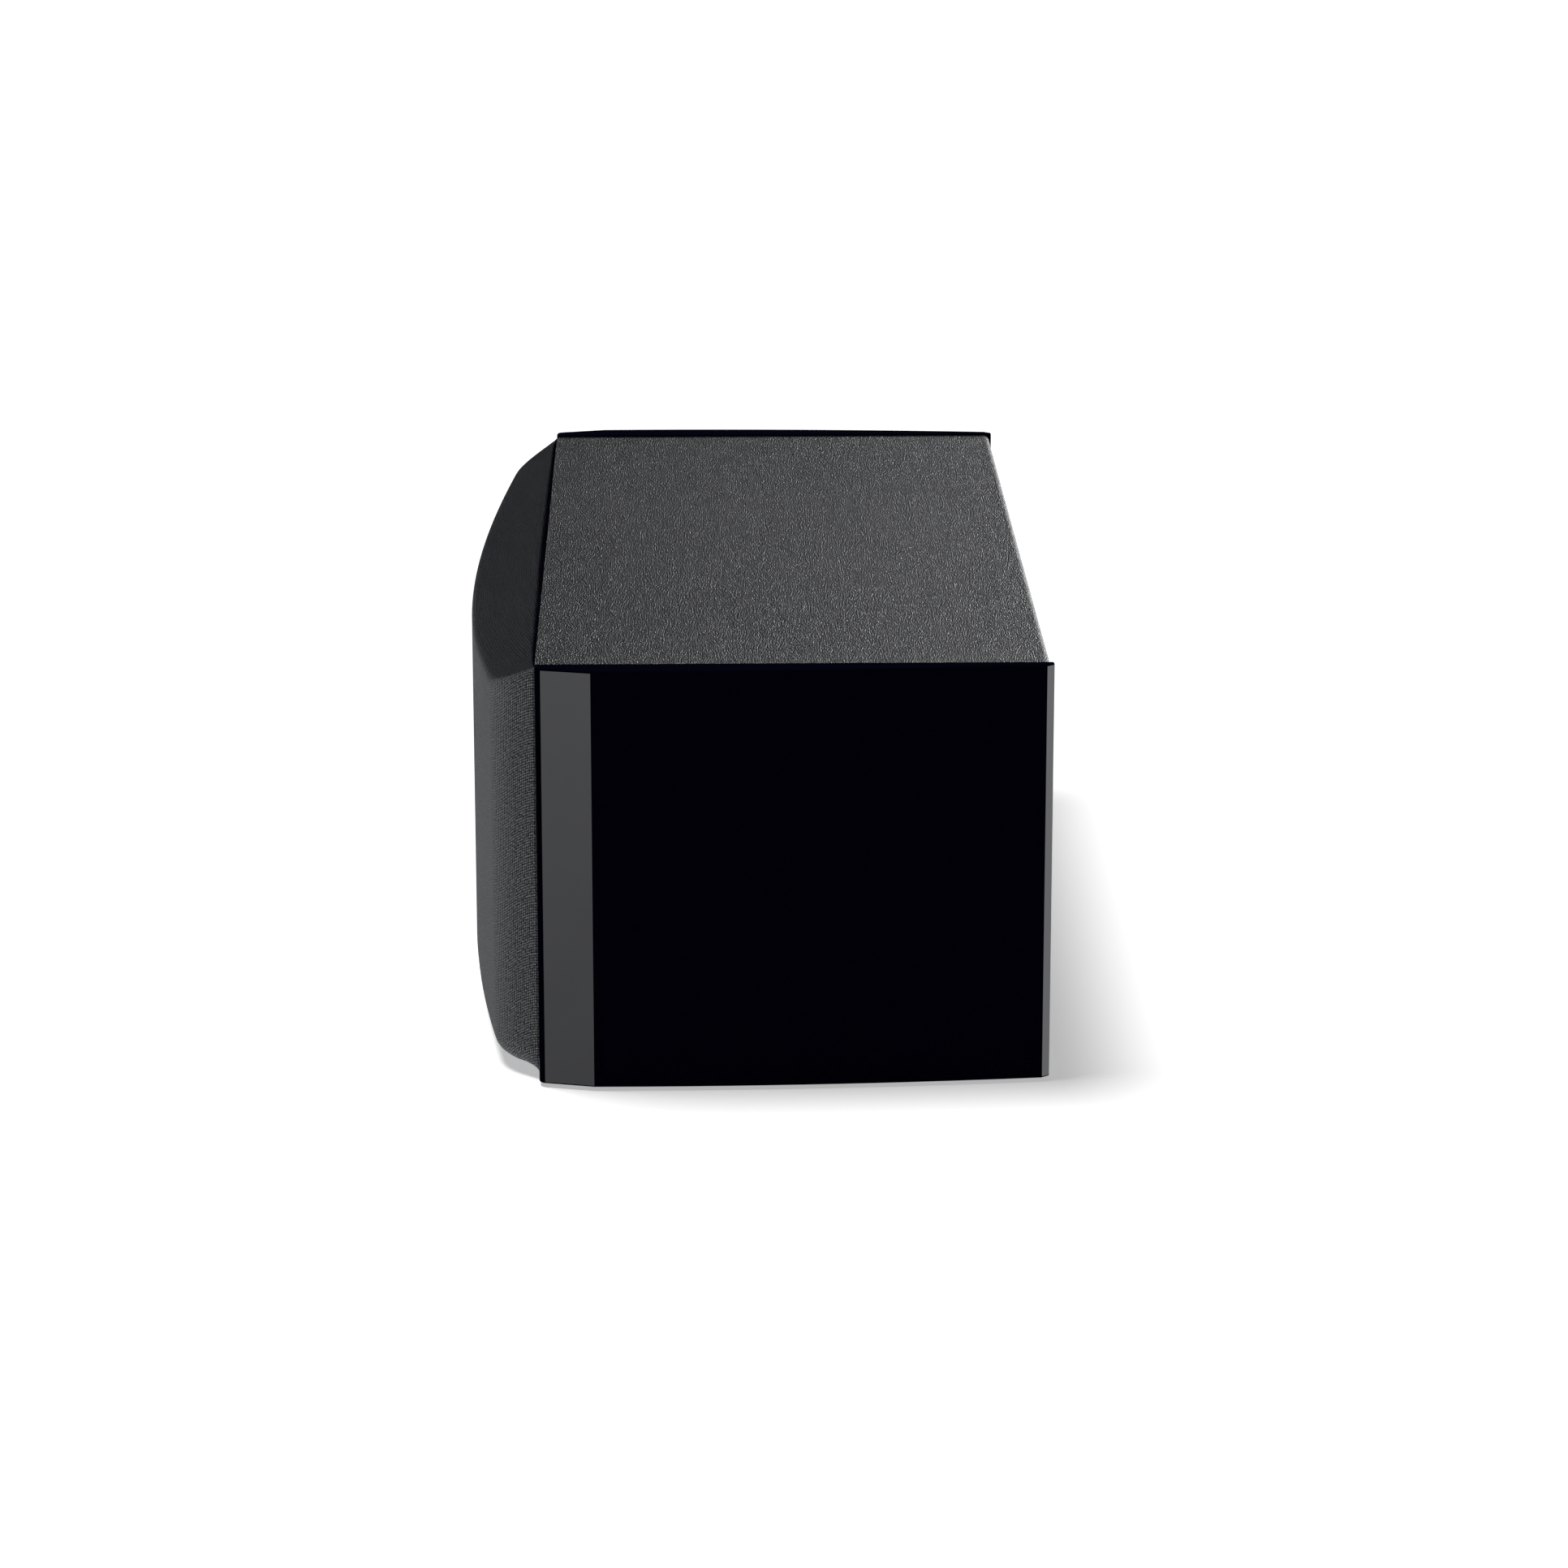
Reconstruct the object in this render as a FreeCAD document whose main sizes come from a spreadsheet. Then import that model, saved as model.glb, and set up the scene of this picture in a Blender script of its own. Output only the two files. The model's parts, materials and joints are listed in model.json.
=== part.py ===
import FreeCAD, Part
import math
import os
import Sketcher

# A wide, low bookshelf loudspeaker that lies on its long side: a boarded cabinet between two bowed
# side panels, two woofers and a tweeter on the baffle, a crossover inside, a port and a terminal cup
# at the back, and a bulging pull-off grille in front.
# Frame: +X to the right of someone facing the grille, +Y to the back, +Z up.
# The origin is the centre of the footprint, on the plane the feet stand on. Millimetres.

os.makedirs("parts", exist_ok=True)
doc = FreeCAD.newDocument("speaker")
sheet = doc.addObject("Spreadsheet::Sheet", "Sizes")

# The driving dimensions. Everything else follows from these.
DRIVING = {
    "cabinet_width": 544.0,
    "cabinet_depth": 256.5,
    "cabinet_height": 214.0,
    "board": 15.0,
    "baffle_board": 18.0,
    "foot_height": 3.0,
    "foot_radius": 9.0,
    "side_panel_crest": 16.0,
    "side_panel_proud": 1.0,
    "side_panel_overhang": 1.5,
    "side_panel_crest_back": 58.0,
    "side_panel_bow_radius": 1900.0,
    "side_panel_front_edge": 8.6,
    "side_panel_facet": 28.0,
    "side_panel_back_facet": 4.0,
    "grille_depth": 40.0,
    "grille_crease_depth": 22.0,
    "grille_crease_inset": 20.0,
    "grille_crease_round": 14.0,
    "grille_top_slope": 0.57,
    "grille_bottom_slope": 0.02,
    "grille_bottom_round": 11.0,
    "cloth": 1.2,
    "grille_wall": 3.0,
    "peg_radius": 4.0,
    "woofer_spacing": 310.0,
    "woofer_radius": 83.0,
    "woofer_hole_radius": 72.5,
    "cone_radius": 56.5,
    "coil_radius": 17.2,
    "tweeter_radius": 50.0,
    "tweeter_hole_radius": 37.0,
    "dome_radius": 12.7,
    "port_radius": 27.0,
    "port_length": 118.0,
    "port_offset": 150.0,
    "brace_offset": 78.0,
    "brace_board": 12.0,
    "cup_width": 84.0,
    "cup_height": 56.0,
    "cup_depth": 24.0,
    "post_pitch": 19.0,
    "post_radius": 3.5,
    "plug_hole_radius": 2.0,
    "plug_hole_length": 16.0,
    "lead_radius": 1.2,
    "lead_bend": 12.0,
}
# Positions worked out from them.
DERIVED = {
    "front": "=-(cabinet_depth + side_panel_overhang + grille_depth) / 2 + grille_depth",
    "back": "=front + cabinet_depth",
    "half_width": "=cabinet_width / 2",
    "underside": "=foot_height",
    "top": "=underside + cabinet_height",
    "middle": "=underside + cabinet_height / 2",
}
for row, (alias, number) in enumerate(list(DRIVING.items()) + list(DERIVED.items()), start=1):
    sheet.set(f"A{row}", alias)
    sheet.set(f"B{row}", str(number))
    sheet.setAlias(f"B{row}", alias)
doc.recompute()

OVERSHOOT = 0.5          # overshoot that lets a cutter pass cleanly through a face
PARTS = []


def mm(alias):
    """A size from the sheet."""
    return float(sheet.get(alias))


FRONT, BACK = mm("front"), mm("back")
HALF, BOARD = mm("half_width"), mm("board")
LOW, TOP, MIDDLE = mm("underside"), mm("top"), mm("middle")
WOOFER_X = mm("woofer_spacing") / 2
SIDES = (("left", -1), ("right", 1))
RIM_REBATE = 2.0   # the port and the terminal cup are let into the rear panel by this much
PORT_WALL = 2.8
PORT_RIM = 14.0    # width of the port's trim flange around its bore
CUP_RIM = 13.0     # width of the terminal cup's flange around its opening
CUP_WALL = 3.0
SOCKET_WALL = 2.0  # wall of the sleeves that take the grille's pegs
FIT = 0.3          # clearance all round a part let into a rebate
SCREW_HOLE = 2.2   # radius of a clearance hole for a driver screw
WOOFER_SCREW_INSET, TWEETER_SCREW_INSET = 4.5, 6.0


# ---------------------------------------------------------------- ways to make a piece

def keep(item, label):
    """Name a finished piece and put it on the list to be written out."""
    item.Label = label
    PARTS.append(item)
    return item


def board(label, low_corner, size):
    """A flat board, its low corner and its size given as sheet formulas."""
    item = doc.addObject("Part::Box", label)
    for edge, formula in zip(("Length", "Width", "Height"), size):
        item.setExpression(edge, formula)
    for axis, formula in zip("xyz", low_corner):
        item.setExpression(f"Placement.Base.{axis}", formula)
    return item


def shaped(label, shape, at=(0, 0, 0)):
    """A piece whose shape is worked out in code, placed with its own origin at a point."""
    item = doc.addObject("Part::Feature", label)
    item.Shape = shape
    item.Placement = FreeCAD.Placement(FreeCAD.Vector(*at), FreeCAD.Rotation())
    return keep(item, label)


def edges_of(outline):
    """Lines and arcs through an outline. A three-part entry is an arc: (mid x, mid y), then its end."""
    pieces = []
    here = FreeCAD.Vector(*outline[-1][-2:], 0)
    for entry in outline:
        end = FreeCAD.Vector(*entry[-2:], 0)
        if len(entry) == 4:
            pieces.append(Part.Arc(here, FreeCAD.Vector(*entry[:2], 0), end))
        elif not here.isEqual(end, 1e-6):
            pieces.append(Part.LineSegment(here, end))
        here = end
    return pieces


def face_of(outline):
    """A flat face in the XY plane."""
    wire = Part.Wire([piece.toShape() for piece in edges_of(outline)])
    return Part.Face(wire)


def origin_plane(body, role):
    """One of a body's own origin planes."""
    return next(feature for feature in body.Origin.OriginFeatures if feature.Role == role)


def sketch_on(body, role, name, lift=0.0):
    """An empty sketch on an origin plane, lifted along the plane's normal."""
    sketch = body.newObject("Sketcher::SketchObject", name)
    sketch.AttachmentSupport = [(origin_plane(body, role), "")]
    sketch.MapMode = "FlatFace"
    sketch.AttachmentOffset = FreeCAD.Placement(FreeCAD.Vector(0, 0, lift), FreeCAD.Rotation())
    return sketch


def turned(label, outline, at):
    """A round piece: an outline of (radius, depth) points turned about an axis along Y."""
    body = doc.addObject("PartDesign::Body", label)
    sketch = sketch_on(body, "XY_Plane", f"{label}_outline")
    sketch.addGeometry(edges_of(outline), False)
    turn = body.newObject("PartDesign::Revolution", f"{label}_turn")
    turn.Profile = sketch
    turn.ReferenceAxis = (sketch, ["V_Axis"])
    turn.Angle = 360.0
    body.Tip = turn
    body.Placement = FreeCAD.Placement(FreeCAD.Vector(*at), FreeCAD.Rotation())
    return keep(body, label)


def hold_point(sketch, geometry, point, formulas):
    """Fix a sketch point at signed distances from the sketch origin, each given as a sheet formula."""
    for kind, axis, (sign, formula) in zip(("DistanceX", "DistanceY"), (-2, -1), formulas):
        if sign == 0:
            sketch.addConstraint(Sketcher.Constraint("PointOnObject", geometry, point, axis))
            continue
        ends = (-1, 1, geometry, point) if sign > 0 else (geometry, point, -1, 1)
        index = sketch.addConstraint(Sketcher.Constraint(kind, *ends, 1.0))
        sketch.setExpression(f"Constraints[{index}]", formula)


def add_circle(sketch, centre, formula):
    """A circle whose centre and radius follow the sheet."""
    start = [sign * 10.0 for sign, _ in centre]
    circle = Part.Circle(FreeCAD.Vector(start[0], start[1], 0), FreeCAD.Vector(0, 0, 1), 5.0)
    geometry = sketch.addGeometry(circle, False)
    index = sketch.addConstraint(Sketcher.Constraint("Radius", geometry, 5.0))
    sketch.setExpression(f"Constraints[{index}]", formula)
    hold_point(sketch, geometry, 3, centre)


def add_rectangle(sketch, half_wide, half_tall):
    """A rectangle centred on the sketch origin, its half sizes given as sheet formulas."""
    corners = [(-1, -1), (1, -1), (1, 1), (-1, 1)]
    for start, end in zip(corners, corners[1:] + corners[:1]):
        line = Part.LineSegment(FreeCAD.Vector(*start, 0) * 20, FreeCAD.Vector(*end, 0) * 20)
        geometry = sketch.addGeometry(line, False)
        hold_point(sketch, geometry, 1, [(start[0], half_wide), (start[1], half_tall)])
        hold_point(sketch, geometry, 2, [(end[0], half_wide), (end[1], half_tall)])


def drill(sketch, spots, radius):
    """Equal circles at a list of spots."""
    for x, z in spots:
        circle = Part.Circle(FreeCAD.Vector(x, z, 0), FreeCAD.Vector(0, 0, 1), radius)
        sketch.addGeometry(circle, False)


def upright_panel(label, half_wide, half_tall, thickness, at_y):
    """A board in the XZ plane as a body, its back face on at_y, ready for holes from the front."""
    body = doc.addObject("PartDesign::Body", label)
    outline = sketch_on(body, "XZ_Plane", f"{label}_outline")
    add_rectangle(outline, half_wide, half_tall)
    pad = body.newObject("PartDesign::Pad", f"{label}_pad")
    pad.Profile = outline
    pad.setExpression("Length", thickness)
    body.Placement = FreeCAD.Placement(FreeCAD.Vector(0, at_y, MIDDLE), FreeCAD.Rotation())
    doc.recompute()
    return keep(body, label)


def sink(body, name, lift, depth, draw):
    """Pocket a body to a depth, from its front face (lift is its thickness) or its back face (lift 0)."""
    sketch = sketch_on(body, "XZ_Plane", name, lift)
    draw(sketch)
    pocket = body.newObject("PartDesign::Pocket", f"{name}_pocket")
    pocket.Profile = sketch
    pocket.Length = depth
    pocket.Reversed = lift == 0
    before = body.Shape.Volume
    body.Tip = pocket
    doc.recompute()
    assert body.Shape.Volume < before, f"{name} removed nothing"


def rod(radius, start, end):
    """A plain round rod between two points."""
    start, end = FreeCAD.Vector(*start), FreeCAD.Vector(*end)
    return Part.makeCylinder(radius, (end - start).Length, start, end - start)


def block(low_corner, high_corner):
    """A plain block between two corners."""
    low_corner, high_corner = zip(*(sorted(pair) for pair in zip(low_corner, high_corner)))
    size = FreeCAD.Vector(*high_corner) - FreeCAD.Vector(*low_corner)
    return Part.makeBox(size.x, size.y, size.z, FreeCAD.Vector(*low_corner))


def around(count, radius, first_angle=0.0):
    """Evenly spaced (x, z) points on a circle."""
    angles = [math.radians(first_angle) + math.tau * step / count for step in range(count)]
    return [(radius * math.cos(angle), radius * math.sin(angle)) for angle in angles]


def screws(spots, shank, head, length, head_height, way=1):
    """Separate cross-head screws, the underside of each head on its own spot; way is +1 or -1 along Y."""
    slot_half, slot_narrow = head * 0.55, 0.4
    made = []
    for x, y, z in spots:
        crown = y - way * head_height
        slot_floor = y - way * head_height / 2
        stem = rod(shank, (x, slot_floor, z), (x, y + way * length, z))
        cap = rod(head, (x, y, z), (x, crown, z))
        cap = cap.makeFillet(head_height * 0.4, [cap.Edges[0]])
        cross = [block((x - wide, crown - way * OVERSHOOT, z - tall), (x + wide, slot_floor, z + tall))
                 for wide, tall in ((slot_half, slot_narrow), (slot_narrow, slot_half))]
        made.append(stem.fuse(cap).cut(cross[0]).cut(cross[1]).removeSplitter())
    return made


def dome_arc(apex, rim_radius, rim_depth):
    """Middle point of the arc from an apex on the axis, where it is square to it, to a rim."""
    drop = rim_depth - apex
    radius = (rim_radius ** 2 + drop ** 2) / (2 * drop)
    half_angle = math.asin(rim_radius / radius) / 2
    return radius * math.sin(half_angle), apex + radius * (1 - math.cos(half_angle))


# ---------------------------------------------------------------- cabinet

def make_boards():
    """Top, bottom and end boards of the box; the baffle and the rear panel sit inside them."""
    width, depth = "Sizes.cabinet_width", "Sizes.cabinet_depth"
    wall = "Sizes.board"
    lid = board("top_board", ("-Sizes.half_width", "Sizes.front", "Sizes.top - Sizes.board"),
                (width, depth, wall))
    base = board("bottom_board", ("-Sizes.half_width", "Sizes.front", "Sizes.underside"),
                 (width, depth, wall))
    for item, label in ((lid, "top_panel"), (base, "bottom_panel")):
        rounded = doc.addObject("Part::Fillet", f"{label}_rounded")
        rounded.Base = item
        doc.recompute()
        outer_z, radius = (TOP if label == "top_panel" else LOW), 3.0
        rear_arris = FreeCAD.Vector(0, BACK, outer_z)
        rounded.Edges = [(number, radius, radius) for number, edge in enumerate(item.Shape.Edges, start=1)
                         if edge.CenterOfMass.isEqual(rear_arris, 0.01)]
        keep(rounded, label)
    inside_height = "Sizes.cabinet_height - 2 * Sizes.board"
    for name, sign in SIDES:
        low_x = "-Sizes.half_width" if sign < 0 else "Sizes.half_width - Sizes.board"
        end = board(f"{name}_end_board", (low_x, "Sizes.front", "Sizes.underside + Sizes.board"),
                    (wall, depth, inside_height))
        keep(end, f"{name}_end_board")


def side_panel_face():
    """Plan of a side panel: flat inside, a slanting facet at the front, a long bow, a small rear facet."""
    start, end = FRONT, BACK + mm("side_panel_overhang")
    crest_y, crest_x = start + mm("side_panel_crest_back"), mm("side_panel_crest")
    radius, back_facet, back_facet_lean = mm("side_panel_bow_radius"), mm("side_panel_back_facet"), 0.8

    def bow(y):
        """Thickness at y on the long bow."""
        return crest_x - radius + math.sqrt(radius ** 2 - (y - crest_y) ** 2)

    bow_start, bow_end = start + mm("side_panel_facet"), end - back_facet
    bow_middle = (bow_start + bow_end) / 2
    return face_of([
        (0, start),
        (mm("side_panel_front_edge"), start),
        (bow(bow_start), bow_start),
        (bow(bow_middle), bow_middle, bow(bow_end), bow_end),
        (bow(bow_end) - back_facet * back_facet_lean, end),
        (0, end),
    ])


def make_side_panels():
    """The two lacquered side panels: a rounded front corner, eased facet edges and eased long edges."""
    front_corner, facet_round, edge_round, proud = 4.0, 1.2, 0.8, mm("side_panel_proud")
    height = mm("cabinet_height") + 2 * proud
    solid = side_panel_face().extrude(FreeCAD.Vector(0, 0, height))
    upright = [edge for edge in solid.Edges if edge.BoundBox.ZLength > 1 and edge.CenterOfMass.x > 0.5]
    nose = [edge for edge in upright if edge.CenterOfMass.y < FRONT + 1]
    eased = [edge for edge in upright if FRONT + 1 < edge.CenterOfMass.y < BACK - 1]
    solid = solid.makeFillet(front_corner, nose).makeFillet(facet_round, eased)
    rim = [edge for edge in solid.Edges if edge.BoundBox.ZLength < 0.1 and edge.BoundBox.XMax > 0.01]
    solid = solid.makeFillet(edge_round, rim)
    shaped("right_side_panel", solid, (HALF, 0, LOW - proud))
    mirrored = solid.mirror(FreeCAD.Vector(0, 0, 0), FreeCAD.Vector(1, 0, 0))
    shaped("left_side_panel", mirrored, (-HALF, 0, LOW - proud))


def make_feet():
    """Four rubber feet, slightly domed at the edge."""
    side_inset, end_inset, edge_round = 34.0, 26.0, 1.0
    reach_x, front_y, back_y = HALF - side_inset, FRONT + end_inset, BACK - end_inset
    made = []
    for x in (-reach_x, reach_x):
        for y in (front_y, back_y):
            foot = rod(mm("foot_radius"), (x, y, 0), (x, y, mm("foot_height")))
            sole = [edge for edge in foot.Edges if edge.BoundBox.ZMax < 0.01]
            made.append(foot.makeFillet(edge_round, sole))
    shaped("rubber_feet", Part.makeCompound(made))


def peg_spots():
    """Where the grille's pegs enter the baffle, as (x, z) from the middle of the baffle."""
    reach_x, reach_z = HALF - 26.0, 80.0
    return [(x, z) for x in (-reach_x, 0.0, reach_x) for z in (-reach_z, reach_z)]


def make_baffle():
    """The baffle, rebated for the three drivers and drilled for them, their screws and the pegs."""
    thick = mm("baffle_board")
    woofer_rebate, tweeter_rebate, socket_depth, screw_depth = 4.0, 3.0, 12.0, 17.0
    body = upright_panel("front_baffle", "Sizes.half_width - Sizes.board",
                         "Sizes.cabinet_height / 2 - Sizes.board", "Sizes.baffle_board", FRONT + thick)
    woofers = [[(sign, "Sizes.woofer_spacing / 2"), (0, "0")] for _, sign in SIDES]
    tweeter = [(0, "0"), (0, "0")]

    def driver_rebates(sketch):
        for centre in woofers:
            add_circle(sketch, centre, f"Sizes.woofer_radius + {FIT}")

    def driver_holes(sketch):
        for centre in woofers:
            add_circle(sketch, centre, "Sizes.woofer_hole_radius")
        add_circle(sketch, tweeter, "Sizes.tweeter_hole_radius")

    sink(body, "woofer_rebates", thick, woofer_rebate, driver_rebates)
    sink(body, "tweeter_rebate", thick, tweeter_rebate,
         lambda sketch: add_circle(sketch, tweeter, f"Sizes.tweeter_radius + {FIT}"))
    sink(body, "driver_holes", thick, thick + OVERSHOOT, driver_holes)

    sleeve, thread = mm("peg_radius") + SOCKET_WALL, 2.1
    sink(body, "socket_holes", thick, socket_depth, lambda sketch: drill(sketch, peg_spots(), sleeve))
    sink(body, "screw_holes", thick, screw_depth,
         lambda sketch: drill(sketch, woofer_screw_spots() + tweeter_screw_spots(), thread))


def make_rear_panel():
    """The rear panel, cut for the port tube and the terminal cup."""
    thick = mm("board")
    body = upright_panel("rear_panel", "Sizes.half_width - Sizes.board",
                         "Sizes.cabinet_height / 2 - Sizes.board", "Sizes.board", BACK)
    port = [(-1, "Sizes.port_offset"), (0, "0")]
    sink(body, "port_rebate", 0, RIM_REBATE,
         lambda sketch: add_circle(sketch, port, f"Sizes.port_radius + {PORT_RIM + FIT}"))
    sink(body, "cup_rebate", 0, RIM_REBATE,
         lambda sketch: add_rectangle(sketch, f"Sizes.cup_width / 2 + {CUP_RIM + FIT}",
                                      f"Sizes.cup_height / 2 + {CUP_RIM + FIT}"))
    sink(body, "port_hole", thick, thick + OVERSHOOT,
         lambda sketch: add_circle(sketch, port, f"Sizes.port_radius + {PORT_WALL + 0.2}"))
    sink(body, "cup_hole", thick, thick + OVERSHOOT,
         lambda sketch: add_rectangle(sketch, f"Sizes.cup_width / 2 + {CUP_WALL + 0.5}",
                                      f"Sizes.cup_height / 2 + {CUP_WALL + 0.5}"))
    sink(body, "cup_screw_holes", thick, thick + OVERSHOOT,
         lambda sketch: drill(sketch, cup_screw_spots(), 1.6))


def make_braces():
    """Two window braces that tie all four long boards together."""
    y_start, y_end = FRONT + mm("baffle_board"), BACK - BOARD
    z_start, z_end = LOW + BOARD, TOP - BOARD
    window_radius, window_rise, columns = 26.0, 45.0, 3
    made = []
    for _, sign in SIDES:
        middle_x = sign * mm("brace_offset")
        near, far = middle_x - mm("brace_board") / 2, middle_x + mm("brace_board") / 2
        web = block((near, y_start, z_start), (far, y_end, z_end))
        for column in range(columns):
            y = y_start + (y_end - y_start) * (column + 0.5) / columns
            for z in (MIDDLE - window_rise, MIDDLE + window_rise):
                web = web.cut(rod(window_radius, (near - OVERSHOOT, y, z), (far + OVERSHOOT, y, z)))
        made.append(web)
    shaped("window_braces", Part.makeCompound(made))


def make_damping_mats():
    """Two soft mats of wadding under the top board, one over each woofer."""
    thick, wide, deep, air, outward, setback, edge_round = 18.0, 130.0, 120.0, 0.3, 15.0, 95.0, 5.0
    made = []
    for _, sign in SIDES:
        centre_x = sign * (WOOFER_X + outward)
        y_start = FRONT + setback
        high = TOP - BOARD - air
        mat = block((centre_x - wide / 2, y_start, high - thick),
                    (centre_x + wide / 2, y_start + deep, high))
        lower = [edge for edge in mat.Edges if edge.CenterOfMass.z < high - 0.1]
        made.append(mat.makeFillet(edge_round, lower))
    shaped("damping_mats", Part.makeCompound(made))


# ---------------------------------------------------------------- grille

def rounded_crease(wall_end, crease, front_end, reach):
    """Start, middle and end of the arc that rounds a crease between two runs."""
    wall_end, crease, front_end = (FreeCAD.Vector(*point, 0) for point in (wall_end, crease, front_end))
    start = crease + (wall_end - crease).normalize() * reach
    end = crease + (front_end - crease).normalize() * reach
    middle = (start + crease * 2 + end) / 4
    return [(point.x, point.y) for point in (start, middle, end)]


def grille_form(inset):
    """The bulging form of the grille, moved inwards by inset everywhere but at its open back."""
    behind, side_gap, far = 12.0, 0.8, 60.0
    reach = HALF - side_gap
    crease_x, crease_y = HALF - mm("grille_crease_inset"), -mm("grille_crease_depth")
    flare = behind * (reach - crease_x) / -crease_y
    bow_drop = mm("grille_depth") + crease_y
    bow = (crease_x ** 2 + bow_drop ** 2) / (2 * bow_drop)
    near_x = crease_x - mm("grille_crease_round")
    near_y = -mm("grille_depth") + bow - math.sqrt(bow ** 2 - near_x ** 2)
    start, middle, end = rounded_crease((reach, 0), (crease_x, crease_y), (near_x, near_y),
                                        mm("grille_crease_round"))
    plan = face_of([
        (reach + flare, behind),
        start,
        (*middle, *end),
        (0, -mm("grille_depth"), -end[0], end[1]),
        (-middle[0], middle[1], -start[0], start[1]),
        (-reach - flare, behind),
    ])
    low, high = LOW + 2.5, TOP - 0.6
    rise, drop = mm("grille_bottom_slope"), mm("grille_top_slope")
    profile = face_of([
        (behind, low - behind * rise),
        (-far, low + far * rise),
        (-far, high - far * drop),
        (behind, high + behind * drop),
    ])
    if inset:
        plan = plan.makeOffset2D(-inset, 2)
        profile = profile.makeOffset2D(-inset, 2)
    column = plan.extrude(FreeCAD.Vector(0, 0, TOP + 20))
    profile.rotate(FreeCAD.Vector(0, 0, 0), FreeCAD.Vector(1, 1, 1), 120)
    slab = profile.extrude(FreeCAD.Vector(HALF * 3, 0, 0))
    slab.translate(FreeCAD.Vector(-HALF * 1.5, 0, 0))
    form = column.common(slab).removeSplitter()
    lower = [edge for edge in form.Edges if edge.BoundBox.XLength > 5
             and edge.BoundBox.YMin < -5 and edge.BoundBox.ZMax < MIDDLE]
    return form.makeFillet(mm("grille_bottom_round") - inset, lower)


def make_grille():
    """The moulded frame with its ribs and pegs, and the cloth stretched over it."""
    gap, cloth, wall = 0.5, mm("cloth"), mm("grille_wall")
    behind = block((-HALF * 2, -gap, 0), (HALF * 2, 30, TOP + 20))
    outer, under, hollow = (grille_form(inset) for inset in (0.0, cloth, cloth + wall))
    shaped("grille_cloth", outer.cut(under).cut(behind), (0, FRONT, 0))

    frame = under.cut(hollow).cut(behind)
    window, rib, columns = 46.0, 9.0, 8
    lower_row, upper_row = (LOW + 20, MIDDLE - 12), (MIDDLE - 4, MIDDLE + 66)
    for column in range(columns):
        start_x = (column - columns / 2) * (window + rib) + rib / 2
        for z_start, z_end in (lower_row, upper_row):
            frame = frame.cut(block((start_x, -60, z_start), (start_x + window, -18, z_end)))
    tab_half, tab_thick, tab_reach, peg_length = 8.0, 4.0, 22.0, 9.0
    for x, z in peg_spots():
        outward = math.copysign(tab_reach, z)
        low_z, high_z = sorted((z - math.copysign(tab_half, z), z + outward))
        tab = block((x - tab_half, -gap - tab_thick, MIDDLE + low_z), (x + tab_half, -gap, MIDDLE + high_z))
        peg = rod(mm("peg_radius"), (x, -gap - 1, MIDDLE + z), (x, peg_length, MIDDLE + z))
        peg = peg.makeFillet(1.2, [edge for edge in peg.Edges if edge.BoundBox.YMin > peg_length - 0.1])
        frame = frame.fuse(tab.common(under)).fuse(peg)
    shaped("grille_frame", frame.removeSplitter(), (0, FRONT, 0))

    sleeve, sleeve_length, hole_length, snug = mm("peg_radius") + SOCKET_WALL, 12.0, 10.5, 0.05
    made = []
    for x, z in peg_spots():
        cup = rod(sleeve, (x, 0, MIDDLE + z), (x, sleeve_length, MIDDLE + z))
        hole = rod(mm("peg_radius") + snug, (x, -OVERSHOOT, MIDDLE + z), (x, hole_length, MIDDLE + z))
        made.append(cup.cut(hole))
    shaped("grille_sockets", Part.makeCompound(made), (0, FRONT, 0))


# ---------------------------------------------------------------- drivers

MOTOR_FRONT = 50.0   # depth behind the baffle's face at which a woofer's motor starts
TAB_BACK = 48.5      # depth of the back of the tab that carries a woofer's terminals


def woofer_screw_spots():
    """Screw positions of both woofers, as (x, z) from the middle of the baffle."""
    ring = around(6, mm("woofer_radius") - WOOFER_SCREW_INSET, 30.0)
    return [(sign * WOOFER_X + x, z) for _, sign in SIDES for x, z in ring]


def tweeter_screw_spots():
    """Screw positions of the tweeter, as (x, z) from the middle of the baffle."""
    return around(4, mm("tweeter_radius") - TWEETER_SCREW_INSET, 45.0)


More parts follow.
